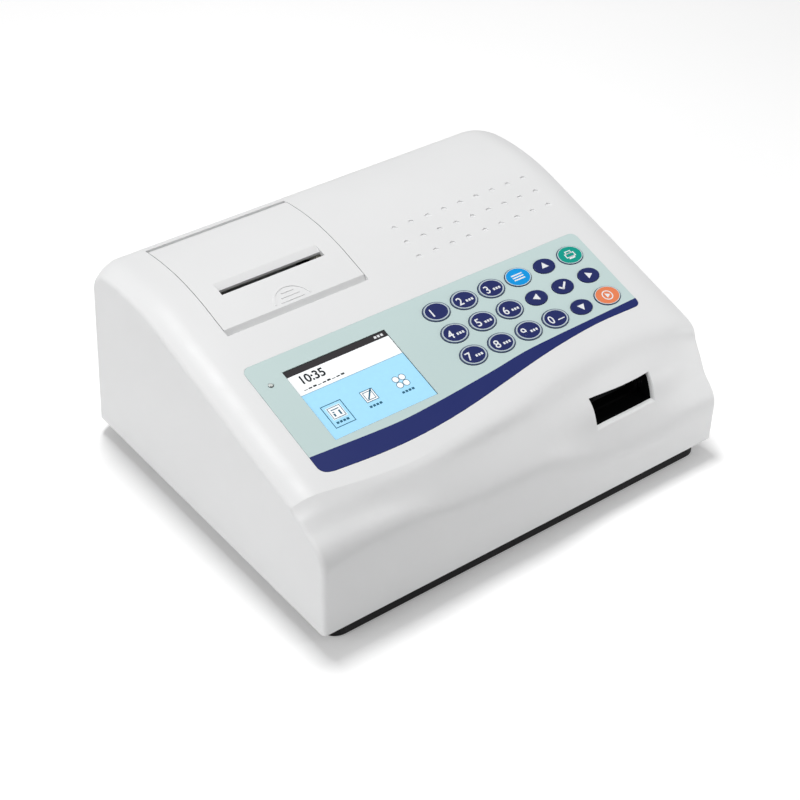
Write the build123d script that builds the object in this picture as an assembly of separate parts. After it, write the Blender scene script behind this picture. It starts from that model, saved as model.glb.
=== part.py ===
from build123d import *
import os
from math import acos, atan2, cos, pi, radians, sin, sqrt, tan

# Desktop reader for urine test strips: a one-piece white housing on a dark base pan, with a
# sloping control panel, a thermal printer under a hinged cover and a motor-driven strip tray
# behind a port in the front.
#
# Millimetres. +Z is up, the operator stands on the -Y side and +X is to the operator's right.
# The origin is on the table, below the middle of the housing's footprint.
#
# Places inside the housing are given as (across, back, up): across from its left side, back
# from its front face and up from its lower edge.

# ---- Housing ----
housing_width = 290.0
housing_depth = 242.0
skin = 3.0                   # wall of the housing
panel_angle = 16.4           # slope of the control panel, degrees
panel_height = 65.8          # height of the panel's plane above the lower edge, at the front face
crest_start = 155.0          # where the sloping panel turns into the crest, back from the front
crest_radius = 150.0
back_radius = 17.0           # rounding between the crest and the rear wall
back_draft = 4.2             # lean of the rear wall, degrees
side_drop = 4.5              # how far the top falls off at the very side
side_drop_width = 16.0       # width of that soft shoulder
corner_inset = 7.0           # how far the rear wall comes forward at the very side
corner_width = 20.0          # width of that soft rear corner
edge_radius = 3.0            # rounding between the side faces and everything else

# The front is a wave: at each station across the housing, the points (back, up) that its
# skin passes between the upright front face and the panel, and last where it meets the panel.
front_wave = {
    0: [(0, 44), (1.6, 52), (5.5, 58), (14.5, 64), (20.5, 69), 29],
    40: [(0, 45), (1.6, 54), (5, 58.3), (10, 61), (16, 66.5), 23.4],
    80: [(0, 40), (1.3, 50), (5, 55.5), (9.5, 61), (14.5, 67), 20.5],
    120: [(0, 36), (1.2, 44.5), (5, 51), (11, 58), (17.5, 66), 25.2],
    155: [(0, 35), (1.2, 43.5), (6, 51), (12, 58), (19.5, 66), 29],
    190: [(0, 23), (1.3, 32), (6, 43), (13, 57), (23, 65.5), 35.5],
    220: [(0, 20), (1.3, 29.5), (7.3, 44.3), (14.5, 60.3), (24.5, 67), 38.2],
    250: [(0, 19), (1.5, 29), (7.8, 43), (15, 59), (25, 67.5), 39],
    290: [(0, 22), (1.6, 32), (11.5, 43), (16.5, 52), (22, 62.5), 35.5],
}
front_wave_width = 290.0     # width that the stations above are drawn for
crease_angle = 25.0          # kink between the wave and the panel at the left side, degrees
crease_end = 110.0           # the kink fades out this far across
end_stations = [4, 9, 15, 22, 30]

# ---- Base pan and feet ----
foot_height = 2.0            # below the pan
foot_radius = 7.0
foot_recess = 1.0            # how deep a foot sits in the pan
foot_inset = 26.0            # from the housing's sides to a foot's centre
pan_height = 9.5             # pan seen below the housing's lower edge
pan_inset = 6.5              # from the housing's sides and rear to the pan's
pan_front_inset = 3.3        # from the housing's front face to the pan's
pan_corner = 10.0
pan_wall = 2.5
rim_height = 2.5             # rim that closes the gap to the housing's wall
rim_raise = 0.5              # the rim sits this far above the housing's lower edge
fit = 0.3                    # clearance between pieces that don't move against each other

# ---- Case screws ----
column_inset = 15.0          # from the housing's sides to a screw column's centre
column_radius = 4.0
column_top = 40.0
screw_radius = 1.5
screw_head_radius = 2.8
screw_head_height = 1.8
seat_height = 2.0            # raised seat of a screw on the pan's floor
rib_thickness = 2.5

# ---- Control panel: overlay, screen, keys. Places are (across, up the slope) ----
overlay_left = 25.0
overlay_right = 266.3
overlay_top = 116.2
overlay_corner = 4.5
overlay_thickness = 0.5
overlay_recess = 0.35        # depth of the pocket it is glued into
overlay_gap = 0.15
overlay_lower_edge = [(75, 33.5), (125, 37.1), (181, 46.3), (236, 51.6)]
overlay_lower_left = (34.5, 35.9)
overlay_lower_right = (261.5, 51.1)
overlay_left_end = 42.9      # where its left side starts to round off

screen_left = 44.2
screen_bottom = 52.5
screen_width = 69.7
screen_height = 52.2
pane_margin = 3.0            # the clear pane reaches this far under the overlay
pane_thickness = 1.0
display_border = 0.9         # dark border of the display glass around the visible screen
display_depth = 2.6
display_plate_margin = 6.0
display_plate_thickness = 3.0

led_across = 33.7
led_up = 99.9
led_radius = 1.5
led_length = 7.0

key_rows = [
    ["7", "8", "9", "0", "down", "start"],
    ["4", "5", "6", "left", "ok", "right"],
    ["1", "2", "3", "menu", "up", "print"],
]
small_keys = ["down", "left", "ok", "right", "up"]
key_left = 149.3             # centre of the first column
key_bottom = 65.7            # centre of the lowest row
key_pitch_across = 20.46
key_pitch_up = 18.0
key_width = 17.8
key_depth = 14.0
small_key_width = 14.8
small_key_depth = 11.0
key_proud = 0.7              # above the panel
key_edge = 0.3
key_thickness = 1.4
key_travel = 0.4
key_clearance = 0.3
key_stem_radius = 2.5

switch_size = 6.0
switch_height = 3.5
stem_gap = 0.5               # between a key's stem and its switch
board_thickness = 1.6
board_margin = 13.0          # keypad board beyond the outer key centres
boss_radius = 3.0
board_screw_radius = 1.1
board_screw_head_radius = 2.2
board_screw_head = 1.4

# ---- Speaker dimples: a shallow grid on the right of the top. Places are (across, back) ----
dimple_left = 166.5
dimple_front = 135.5
dimple_pitch_across = 12.55
dimple_pitch_back = 12.2
dimple_columns = 9
dimple_rows = 3
dimple_radius = 2.0
dimple_depth = 0.3

# ---- Printer cover ----
cover_left = 31.9
cover_right = 128.0
cover_front = 140.0          # up the slope, where the housing's opening begins
cover_lip = 4.2              # from that edge to the top edge of the cover's sloping lip
cover_lip_depth = 2.6
cover_gap = 0.4
cover_thickness = 3.0
cover_hinge_back = 216.0
cover_hinge_depth = 4.0      # hinge axis below the surface
cover_opening = 85.0         # degrees
hinge_pin_radius = 1.5
hinge_pin_engagement = 6.0
running_clearance = 0.05
well_wall = 2.5              # collar under the housing's opening
well_depth = 14.0
ledge_width = 3.5
ledge_thickness = 1.5

slot_left = 45.2
slot_right = 115.8
slot_back = 160.5
slot_width = 5.0
slot_ramp = 4.5
slot_ramp_depth = 1.5

grip_across = 80.0           # raised thumb mark on the cover
grip_up = 144.9
grip_radius = 12.5
grip_rib = 0.9
grip_height = 0.4
grip_lines = [(147.2, 16.0), (150.3, 12.5), (153.4, 8.5)]

# ---- Printer ----
roll_radius = 22.0
roll_width = 57.0
roll_core_radius = 6.5
roll_back = 198.0
roll_up = 87.0
spindle_radius = 5.0
bin_wall = 2.0
bin_margin = 1.0             # between the roll and the bin
platen_radius = 5.0
platen_length = 60.0
platen_back = 167.0
platen_up = 100.5
platen_shaft_radius = 2.0
printer_plate = 2.0          # side plates of the printer frame
printer_side_gap = 1.0       # between the platen and a side plate
printer_floor = 80.0
printer_front = 146.0
feed_module = 0.8
feed_teeth = 20
feed_motor_teeth = 12
feed_gear_width = 4.0
feed_motor_radius = 5.5
feed_motor_length = 16.0

# ---- Strip port and tray ----
port_left = 198.0
port_width = 45.0
port_bottom = 44.3
port_height = 16.0
port_bevel = 0.6
liner_wall = 1.5             # dark lining between the port and the tray guide
liner_foot = 11.0            # how far back the lining's front is, at its lower edge
liner_bend = (15.6, 55.0)    # where its front leans back more, and where it ends: (back, up)
liner_head = (20.0, 59.1)
tray_width = 34.0
tray_height = 6.5
tray_bottom = 46.5
tray_front = 26.0
tray_length = 169.0
tray_travel = 80.0
tray_clearance = 0.3
strip_width = 5.6
strip_length = 112.0
strip_depth = 1.6
drip_width = 22.0
drip_depth = 0.9
guide_wall = 2.5
guide_floor = 3.0
guide_front = 20.5
guide_back = 150.0
guide_lip = 2.0
guide_leg_radius = 4.0
rack_module = 1.0
rack_width = 6.0
rack_slot = 9.0
guide_tie = 6.0              # length of the bridges that join the guide's two halves
tie_drop = 4.0               # the rear bridge passes below the rack
rack_backing = 1.5
rack_start = 108.0           # rack's front end, back from the front face
rack_teeth = 27
pinion_teeth = 16
pinion_width = 5.6
pinion_back = 112.0
pinion_shaft_radius = 2.0
tooth_backlash = 0.25
tray_motor_size = 20.0
tray_motor_length = 26.0
motor_plate = 2.5

# ---- Optical head ----
optics_back = 118.0
optics_length = 28.0
optics_width = 27.0
optics_height = 20.0
optics_bridge = 2.5

# ---- Rear panel and connectors. Places are (across, up the rear wall) ----
rear_left = 145.0
rear_width = 112.0
rear_bottom = 13.0
rear_height = 38.0
rear_thickness = 2.0
rear_overlap = 4.0
switch_across = 240.0
jack_across = 218.0
usb_across = 198.0
serial_across = 168.0
connector_up = 32.0
rocker_tilt = 7.0            # degrees to each side of level
pivot_radius = 0.9           # of the two stubs that the rocker tilts on
pivot_reach = 6.1            # from the rocker's middle to the end of a stub

# ---- Main board ----
main_left = 32.0
main_width = 150.0
main_front = 55.0
main_depth = 90.0
standoff_height = 6.0
standoff_radius = 3.0

slope = radians(panel_angle)
draft = radians(back_draft)
left_x = -housing_width / 2
front_y = -housing_depth / 2
lift = foot_height + pan_height
pan_floor = -pan_height + pan_wall      # top of the pan's floor, up from the lower edge


# ---- Helpers that work in (across, back, up) ----
def place(across, back, up):
    """A point of the model from its place in the housing."""
    return (left_x + across, front_y + back, lift + up)


def block(across, back, up):
    """A box between two values in each direction."""
    size = [high - low for low, high in (across, back, up)]
    middle = [(high + low) / 2 for low, high in (across, back, up)]
    return Pos(*place(*middle)) * Box(*size)


def rod_across(radius, across, back, up):
    """A round bar that lies from side to side."""
    middle = place((across[0] + across[1]) / 2, back, up)
    return Pos(*middle) * Rot(0, 90, 0) * Cylinder(radius, across[1] - across[0])


def rod_up(radius, across, back, up):
    """An upright round bar."""
    middle = place(across, back, (up[0] + up[1]) / 2)
    return Pos(*middle) * Cylinder(radius, up[1] - up[0])


def side_plane(across):
    """The plane whose own X runs back and whose own Y runs up, seen from the right."""
    return Plane(origin=place(across, 0, 0), x_dir=(0, 1, 0), z_dir=(1, 0, 0))


def side_prism(points, across):
    """A straight prism from side to side over an outline of (back, up) points."""
    outline = make_face(Polyline(*points, close=True))
    return extrude(side_plane(across[0]) * outline, amount=across[1] - across[0])


panel_plane = Plane(
    origin=place(0, 0, panel_height), x_dir=(1, 0, 0), z_dir=(0, -sin(slope), cos(slope))
)
rear_plane = Plane(
    origin=place(0, housing_depth, 0), x_dir=(1, 0, 0), z_dir=(0, cos(draft), sin(draft))
)


def on_panel(shape, across, up_slope, above=0.0):
    """Moves a shape from the origin onto the control panel."""
    return panel_plane * Pos(across, up_slope, above) * shape


def on_rear(shape, across, up_wall, out=0.0):
    """Moves a shape onto the rear wall; its local Y points down the wall."""
    return rear_plane * Pos(across, -up_wall, out) * shape


def pad(sketch, low, high):
    """Extrudes a flat sketch between two heights."""
    return extrude(Pos(0, 0, low) * sketch, amount=high - low)


# ---- Housing surface ----
def crest_centre(drop):
    """Centre (back, up) of the crest's arc, lowered by drop."""
    start_up = panel_height + crest_start * tan(slope) - drop
    return crest_start + crest_radius * sin(slope), start_up - crest_radius * cos(slope)


def back_centre(drop, inset):
    """Centre (back, up) of the rounding that touches the crest's arc and the rear wall."""
    crest = crest_centre(drop)
    reach = (housing_depth - inset) * cos(draft) - back_radius
    reach -= crest[0] * cos(draft) + crest[1] * sin(draft)
    rise = sqrt((crest_radius - back_radius) ** 2 - reach**2)
    back = crest[0] + reach * cos(draft) - rise * sin(draft)
    return back, crest[1] + reach * sin(draft) + rise * cos(draft)


def surface_up(back):
    """Height of the housing's top surface, away from its sides."""
    if back <= crest_start:
        return panel_height + back * tan(slope)
    centre = crest_centre(0)
    return centre[1] + sqrt(crest_radius**2 - (back - centre[0]) ** 2)


def fade(distance, reach):
    """Falls smoothly from 1 to 0 over the reach."""
    return max(0.0, 1 - distance / reach) ** 2


def wave_points(across):
    """The front wave's points (back, up) at any place across, from the stations."""
    places = sorted(front_wave)
    drawn = across * front_wave_width / housing_width
    low = max(p for p in places[:-1] if p <= drawn)
    high = places[places.index(low) + 1]
    share = (drawn - low) / (high - low)
    points = []
    for first, second in zip(front_wave[low][:-1], front_wave[high][:-1]):
        points.append(tuple(a + (b - a) * share for a, b in zip(first, second)))
    meet = front_wave[low][-1] + (front_wave[high][-1] - front_wave[low][-1]) * share
    points.append((meet, panel_height + meet * tan(slope)))
    return points


def lowered(points, drop):
    """Lets the wave fall off with the top: nothing at its foot, all of the drop at its top."""
    foot_up = points[0][1]
    rise = points[-1][1] - foot_up
    return [(back, up - drop * ((up - foot_up) / rise) ** 2) for back, up in points]


def inward(points, depth):
    """Moves each point of the wave into the housing, square to the wave."""
    moved = [(points[0][0] + depth, points[0][1])]
    for before, point, after in zip(points, points[1:], points[2:]):
        run = (after[0] - before[0], after[1] - before[1])
        length = sqrt(run[0] ** 2 + run[1] ** 2)
        moved.append((point[0] + depth * run[1] / length, point[1] - depth * run[0] / length))
    moved.append((points[-1][0] + depth * sin(slope), points[-1][1] - depth * cos(slope)))
    return moved


def on_circle(centre, radius, angle):
    """The point of a circle at an angle from straight up, towards the rear."""
    return centre[0] + radius * sin(angle), centre[1] + radius * cos(angle)


def side_profile(across, depth, foot):
    """The closed outline of the housing at one station, depth inside its outer surface."""
    side = min(across, housing_width - across)
    drop = side_drop * fade(side, side_drop_width)
    inset = corner_inset * fade(side, corner_width)
    wave = inward(lowered(wave_points(across), drop), depth)
    crest = crest_centre(drop)
    back = back_centre(drop, inset)
    turn = atan2(back[0] - crest[0], back[1] - crest[1])
    wall = pi / 2 - draft
    crest_in = crest_radius - depth
    back_in = back_radius - depth
    rear_top = on_circle(back, back_in, wall)
    corners = [
        (wave[0][0], foot),
        wave[0],
        wave[-1],
        on_circle(crest, crest_in, -slope),
        on_circle(crest, crest_in, (turn - slope) / 2),
        on_circle(crest, crest_in, turn),
        on_circle(back, back_in, (turn + wall) / 2),
        rear_top,
        (rear_top[0] + (rear_top[1] - foot) * tan(draft), foot),
    ]
    spots = [Vector(*place(across, *corner)) for corner in corners]
    curve = [Vector(*place(across, *point)) for point in wave]
    upright = Vector(0, 0, 1)
    arrival = slope + radians(crease_angle * max(0.0, 1 - across / crease_end))
    onto_panel = Vector(0, cos(arrival), sin(arrival))
    edges = [
        Edge.make_line(spots[0], spots[1]),
        Edge.make_spline(curve, tangents=[upright, onto_panel]),
        Edge.make_line(spots[2], spots[3]),
        Edge.make_three_point_arc(spots[3], spots[4], spots[5]),
        Edge.make_three_point_arc(spots[5], spots[6], spots[7]),
        Edge.make_line(spots[7], spots[8]),
        Edge.make_line(spots[8], spots[0]),
    ]
    return Wire(edges)


def housing_block(depth, foot):
    """The solid housing, or with a depth the space inside its wall."""
    scale = housing_width / front_wave_width
    middle = [s * scale for s in sorted(front_wave)[1:-1]]
    far_ends = [housing_width - s for s in reversed(end_stations)]
    stations = [depth] + end_stations + middle + far_ends + [housing_width - depth]
    return Solid.make_loft([side_profile(s, depth, foot) for s in stations], ruled=False)


outer_sharp = housing_block(0, 0)
side_faces = outer_sharp.faces().filter_by(GeomType.PLANE).sort_by(Axis.X)
side_edges = [
    edge
    for face in (side_faces[0], side_faces[-1])
    for edge in face.edges()
    if edge.center().Z > lift + edge_radius
]
outer_block = outer_sharp.fillet(edge_radius, side_edges)
inner_block = housing_block(skin, pan_floor)

# ---- Screw columns of the case ----
column_places = [
    (across, back)
    for across in (column_inset, housing_width - column_inset)
    for back in (column_inset, housing_depth / 2, housing_depth - column_inset)
]
seat_top = pan_floor + seat_height


def screw_column(across, back):
    """A column under the housing, ribbed to its side wall, with the pilot hole of a screw."""
    column = rod_up(column_radius, across, back, (seat_top, column_top))
    on_left = across < housing_width / 2
    wall_side = skin / 2 if on_left else housing_width - skin / 2
    rib_ends = (min(across, wall_side), max(across, wall_side))
    rib = block(
        rib_ends,
        (back - rib_thickness / 2, back + rib_thickness / 2),
        (rim_raise + rim_height + fit, column_top),
    )
    return column + rib


def case_screw(across, back):
    """A screw that comes up through the pan's floor into a column."""
    head_low = -pan_height + 0.4
    shank = rod_up(screw_radius, across, back, (head_low, seat_top + 10))
    head = rod_up(screw_head_radius, across, back, (head_low, head_low + screw_head_height))
    return shank + head


# ---- Overlay outline and openings, flat, in panel coordinates ----
def overlay_outline(grow=0.0):
    """The label's outline: straight sides and top, rounded corners and a wavy lower edge."""
    left = overlay_left - grow
    right = overlay_right + grow
    top = overlay_top + grow
    corner = overlay_corner + grow
    low_left = (overlay_lower_left[0], overlay_lower_left[1] - grow)
    low_right = (overlay_lower_right[0], overlay_lower_right[1] - grow)
    between = [(across, up_slope - grow) for across, up_slope in overlay_lower_edge]
    start = (1, -0.09)
    finish = (1, -0.02)
    lower = Spline(low_left, *between, low_right, tangents=[start, finish])
    corner_right = Spline(low_right, (right, low_right[1] + corner), tangents=[finish, (0, 1)])
    right_side = Line(corner_right @ 1, (right, top - corner))
    top_right = CenterArc((right - corner, top - corner), corner, 0, 90)
    upper = Line(top_right @ 1, (left + corner, top))
    top_left = CenterArc((left + corner, top - corner), corner, 90, 90)
    left_side = Line(top_left @ 1, (left, overlay_left_end))
    corner_left = Spline((left, overlay_left_end), low_left, tangents=[(0, -1), start])
    sides = [lower, corner_right, right_side, top_right, upper, top_left, left_side, corner_left]
    return make_face(sides)


def key_places():
    """Every key's name and centre on the panel."""
    for row, names in enumerate(key_rows):
        for column, name in enumerate(names):
            across = key_left + column * key_pitch_across
            yield name, across, key_bottom + row * key_pitch_up


def key_oval(name, grow=0.0):
    """A key's flat outline."""
    small = name in small_keys
    width = small_key_width if small else key_width
    depth = small_key_depth if small else key_depth
    return Ellipse(width / 2 + grow, depth / 2 + grow)


screen_middle = (screen_left + screen_width / 2, screen_bottom + screen_height / 2)
pane_size = (screen_width + 2 * pane_margin, screen_height + 2 * pane_margin)
glass_size = (screen_width + 2 * display_border, screen_height + 2 * display_border)
plate_size = (
    glass_size[0] + 2 * display_plate_margin,
    glass_size[1] + 2 * display_plate_margin,
)
pane_top = -overlay_recess
glass_top = pane_top - pane_thickness - 0.2
plate_top = glass_top - display_depth
pilot_top = -1.2             # screw holes stop this far below the panel's surface
key_well = key_proud - key_thickness - key_travel - 0.1
wall_under = -skin
switch_top = wall_under - 0.6
board_top = switch_top - switch_height
board_size = (
    5 * key_pitch_across + 2 * board_margin,
    2 * key_pitch_up + 2 * board_margin,
)
board_middle = (key_left + 2.5 * key_pitch_across, key_bottom + key_pitch_up)
board_screws = [
    (board_middle[0] + sx * (board_size[0] / 2 - 4), board_middle[1] + sy * (board_size[1] / 2 - 4))
    for sx in (-1, 1)
    for sy in (-1, 1)
]
plate_screws = [
    (screen_middle[0] + sx * (plate_size[0] / 2 - 3), screen_middle[1] + sy * (plate_size[1] / 2 - 3))
    for sx in (-1, 1)
    for sy in (-1, 1)
]

# ---- Printer cover: side outline and hinge ----
hinge_up = surface_up(cover_hinge_back) - cover_hinge_depth
lip_top = cover_front + cover_gap + cover_lip
inner_arc = crest_radius - cover_thickness


def panel_to_side(up_slope, above):
    """(back, up) of a point given by its way up the panel and its height above it."""
    back = up_slope * cos(slope) - above * sin(slope)
    return back, panel_height + up_slope * sin(slope) + above * cos(slope)


def opening_outline(low, front_shift=0.0):
    """Side outline of the space that the cover closes, down to a level."""
    front = panel_to_side(cover_front + front_shift, 0)
    nose = cover_hinge_depth + cover_gap
    return [
        (front[0] + (front[1] - low) * tan(slope), low),
        panel_to_side(cover_front + front_shift, 10),
        (cover_hinge_back + nose, front[1] + 40),
        (cover_hinge_back + nose, low),
    ]


def cover_plate():
    """The curved plate of the cover, from its lip to above the hinge."""
    centre = crest_centre(0)
    hinge_angle = atan2(cover_hinge_back - centre[0], hinge_up - centre[1])
    middle_angle = (hinge_angle - slope) / 2
    lip_foot = lip_top - cover_lip_depth
    top_line = Line(
        panel_to_side(lip_top, 0), on_circle(centre, crest_radius, -slope)
    )
    top_arc = ThreePointArc(
        top_line @ 1,
        on_circle(centre, crest_radius, middle_angle),
        on_circle(centre, crest_radius, hinge_angle),
    )
    rear = Line(top_arc @ 1, on_circle(centre, inner_arc, hinge_angle))
    under_arc = ThreePointArc(
        rear @ 1,
        on_circle(centre, inner_arc, middle_angle),
        on_circle(centre, inner_arc, -slope),
    )
    under_line = Line(under_arc @ 1, panel_to_side(lip_foot, -cover_thickness))
    heel = Line(under_line @ 1, panel_to_side(lip_foot, -cover_lip_depth))
    lip = Line(heel @ 1, top_line @ 0)
    outline = make_face([top_line, top_arc, rear, under_arc, under_line, heel, lip])
    return extrude(side_plane(cover_left) * outline, amount=cover_right - cover_left)


def thumb_mark():
    """The raised arc with three lines that shows where to lift the cover."""
    ring = Circle(grip_radius) - Circle(grip_radius - grip_rib)
    above = Pos(0, grip_radius / 2 + 1) * Rectangle(2 * grip_radius, grip_radius - 2)
    mark = Pos(grip_across, grip_up) * (ring & above)
    for up_slope, length in grip_lines:
        mark += Pos(grip_across, up_slope) * SlotOverall(length, grip_rib)
    return pad(mark, -0.2, grip_height)


def paper_slot():
    """The paper's way through the cover, with the ramp behind it."""
    high = surface_up(slot_back) + 10
    low = high - 30
    rear = slot_back + slot_width
    outline = [
        (slot_back, high),
        (slot_back, low),
        (rear, low),
        (rear, surface_up(rear) - slot_ramp_depth),
        (rear + slot_ramp, surface_up(rear + slot_ramp) + 0.02),
        (rear + slot_ramp, high),
    ]
    return side_prism(outline, (slot_left, slot_right))


def printer_cover():
    """Hinged cover: plate, hinge nose, paper slot and thumb mark."""
    nose = rod_across(cover_hinge_depth, (cover_left, cover_right), cover_hinge_back, hinge_up)
    bore_radius = hinge_pin_radius + running_clearance
    cover = cover_plate() + nose
    cover -= paper_slot()
    reach = hinge_pin_engagement + 0.5
    for ends in ((cover_left - 1, cover_left + reach), (cover_right - reach, cover_right + 1)):
        cover -= rod_across(bore_radius, ends, cover_hinge_back, hinge_up)
    return cover + panel_plane * thumb_mark()


opening_across = (cover_left - cover_gap, cover_right + cover_gap)
well_across = (opening_across[0] - well_wall, opening_across[1] + well_wall)
pin_ends = [
    (well_across[0] + 0.5, cover_left + hinge_pin_engagement),
    (cover_right - hinge_pin_engagement, well_across[1] - 0.5),
]


def cover_well():
    """Collar below the cover's opening: carries the hinge pins and the cover's front ledge."""
    nose = cover_hinge_depth + cover_gap
    rear = cover_hinge_back + nose + well_wall
    front_back = cover_front * cos(slope)
    low = surface_up(front_back) - well_depth
    collar = block(well_across, (front_back - well_wall, rear), (low, low + 60))
    return collar, low


well_block, well_low = cover_well()


def cover_ledge():
    """Shelf at the front of the opening that the closed cover rests on."""
    start = cover_front - 1
    top = -cover_thickness
    outline = [
        panel_to_side(start, top),
        panel_to_side(cover_front + cover_lip + ledge_width, top),
        panel_to_side(cover_front + cover_lip + ledge_width, top - ledge_thickness),
        panel_to_side(start, top - ledge_thickness),
    ]
    return side_prism(outline, well_across)


# ---- Rear window ----
def rear_window(grow, low, high):
    """A block on the rear wall, larger than the connector window by grow on each side."""
    size = Rectangle(rear_width + 2 * grow, rear_height + 2 * grow)
    middle = (rear_left + rear_width / 2, rear_bottom + rear_height / 2)
    return on_rear(pad(size, low, high), *middle)


# ---- Upper housing ----
port_across = (port_left, port_left + port_width)
port_up = (port_bottom, port_bottom + port_height)


def port_rim(shell):
    """The port's edges on the outside of the housing."""
    middle = Vector(*place(sum(port_across) / 2, 0, sum(port_up) / 2))
    curved = [
        face
        for face in shell.faces().filter_by(GeomType.BSPLINE)
        if face.normal_at(face.center()).Y < 0 and face.center().Y < 0
    ]
    rim = []
    for face in curved:
        for edge in face.edges():
            reach = edge.center() - middle
            near = abs(reach.X) < port_width / 2 + 1 and abs(reach.Z) < port_height / 2 + 1
            if near and edge.center().Y < front_y + 30:
                rim.append(edge)
    return rim


def dimples():
    """Shallow blind holes in front of the speaker."""
    holes = []
    for row in range(dimple_rows):
        for column in range(dimple_columns):
            across = dimple_left + column * dimple_pitch_across
            back = dimple_front + row * dimple_pitch_back
            floor = surface_up(back) - dimple_depth
            holes.append(rod_up(dimple_radius, across, back, (floor, floor + 5)))
    return holes


def panel_cuts():
    """What the overlay, the screen, the lamp and the keys need, in groups that don't overlap."""
    yield on_panel(pad(overlay_outline(overlay_gap), -overlay_recess, 5), 0, 0)
    yield on_panel(pad(Rectangle(*pane_size), pane_top - pane_thickness, 5), *screen_middle)
    opening = Rectangle(glass_size[0] + 2 * fit, glass_size[1] + 2 * fit)
    yield on_panel(pad(opening, -skin - 3, 5), *screen_middle)
    yield on_panel(pad(Circle(led_radius + running_clearance), -8, 5), led_across, led_up)
    wells = []
    holes = []
    for name, across, up_slope in key_places():
        wells.append(on_panel(pad(key_oval(name, key_clearance), key_well, 5), across, up_slope))
        hole = Circle(key_stem_radius + key_clearance)
        holes.append(on_panel(pad(hole, -skin - 1, 5), across, up_slope))
    yield wells
    yield holes
    pilot = Circle(board_screw_radius + running_clearance)
    yield [on_panel(pad(pilot, board_top - 1, pilot_top), *spot) for spot in board_screws]
    yield [on_panel(pad(pilot, plate_top - 1, pilot_top), *spot) for spot in plate_screws]


def upper_housing():
    shell = outer_block - inner_block
    shell -= block(port_across, (-5, 30), port_up)
    shell = chamfer(port_rim(shell), port_bevel)
    for spot in column_places:
        shell += screw_column(*spot)
    shell += outer_block & well_block
    for spots, under in ((board_screws, board_top), (plate_screws, plate_top)):
        for spot in spots:
            shell += on_panel(pad(Circle(boss_radius), under, -skin / 2), *spot)
    shell -= side_prism(opening_outline(well_low - 1), opening_across)
    for group in panel_cuts():
        shell -= group
    shell -= [rod_across(hinge_pin_radius, ends, cover_hinge_back, hinge_up) for ends in pin_ends]
    pilot = screw_radius + running_clearance
    shell -= [rod_up(pilot, *spot, (seat_top - 1, seat_top + 12)) for spot in column_places]
    shell -= rear_window(0, -skin - 1, 5)
    shell -= dimples()
    return shell + (cover_ledge() & inner_block)


# ---- Base pan ----
def rounded_block(across, back, up, corner):
    """An upright box with rounded vertical corners."""
    box = block(across, back, up)
    return fillet(box.edges().filter_by(Axis.Z), corner)


def foot_places():
    for across in (foot_inset, housing_width - foot_inset):
        for back in (foot_inset, housing_depth - foot_inset):
            yield across, back


def base_pan():
    sides = (pan_inset, housing_width - pan_inset)
    ends = (pan_front_inset, housing_depth - pan_inset)
    body = rounded_block(sides, ends, (-pan_height, rim_raise + rim_height), pan_corner)
    rim_inset = skin + fit
    rim = block(
        (rim_inset, housing_width - rim_inset),
        (rim_inset, housing_depth - rim_inset - rim_raise),
        (rim_raise, rim_raise + rim_height),
    )
    rear_corners = rim.edges().filter_by(Axis.Z).group_by(Axis.Y)[-1]
    rim = fillet(rear_corners, 2 * corner_inset)
    hollow = rounded_block(
        (sides[0] + pan_wall, sides[1] - pan_wall),
        (ends[0] + pan_wall, ends[1] - pan_wall),
        (pan_floor, rim_raise + rim_height + 1),
        pan_corner - pan_wall,
    )
    pan = body + rim - hollow
    seat_radius = screw_head_radius + 2
    for across, back in column_places:
        pan += rod_up(seat_radius, across, back, (pan_floor - 1, seat_top))
    for across, back in main_standoffs:
        pan += rod_up(standoff_radius, across, back, (pan_floor, pan_floor + standoff_height))
    for across, back in column_places:
        head_top = -pan_height + 0.4 + screw_head_height
        pan -= rod_up(screw_radius + 0.1, across, back, (-pan_height - 1, seat_top + 1))
        pan -= rod_up(screw_head_radius + 0.1, across, back, (-pan_height - 1, head_top))
    for across, back in foot_places():
        pan -= rod_up(foot_radius + 0.1, across, back, (-pan_height - 1, -pan_height + foot_recess))
    return pan


main_standoffs = [
    (main_left + dx, main_front + dy)
    for dx in (5, main_width - 5)
    for dy in (5, main_depth - 5)
]
main_board_low = pan_floor + standoff_height


def feet():
    low = -pan_height - foot_height
    return [
        rod_up(foot_radius, *spot, (low, -pan_height + foot_recess)) for spot in foot_places()
    ]


# ---- Control panel pieces ----
def keypad_overlay():
    sheet = overlay_outline()
    for name, across, up_slope in key_places():
        sheet -= Pos(across, up_slope) * key_oval(name, key_clearance)
    sheet -= Pos(*screen_middle) * Rectangle(screen_width, screen_height)
    sheet -= Pos(led_across, led_up) * Circle(led_radius + running_clearance)
    return on_panel(pad(sheet, -overlay_recess, overlay_thickness - overlay_recess), 0, 0)


def key_piece(name, across, up_slope):
    cap = pad(key_oval(name), key_proud - key_thickness, key_proud)
    cap = fillet(cap.edges().sort_by(Axis.Z)[-1], key_edge)
    stem = pad(Circle(key_stem_radius), switch_top + stem_gap, key_proud - key_thickness + 0.2)
    return on_panel(cap + stem, across, up_slope)


def screen_pane():
    pane = Rectangle(pane_size[0] - 0.2, pane_size[1] - 0.2)
    return on_panel(pad(pane, pane_top - pane_thickness, pane_top), *screen_middle)


def display():
    glass = pad(Rectangle(*glass_size), plate_top, glass_top)
    plate = pad(Rectangle(*plate_size), plate_top - display_plate_thickness, plate_top)
    module = glass + plate
    for across, up_slope in plate_screws:
        hole = pad(Circle(board_screw_radius + 0.1), plate_top - 9, plate_top + 1)
        module -= Pos(across - screen_middle[0], up_slope - screen_middle[1]) * hole
    return on_panel(module, *screen_middle)


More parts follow.
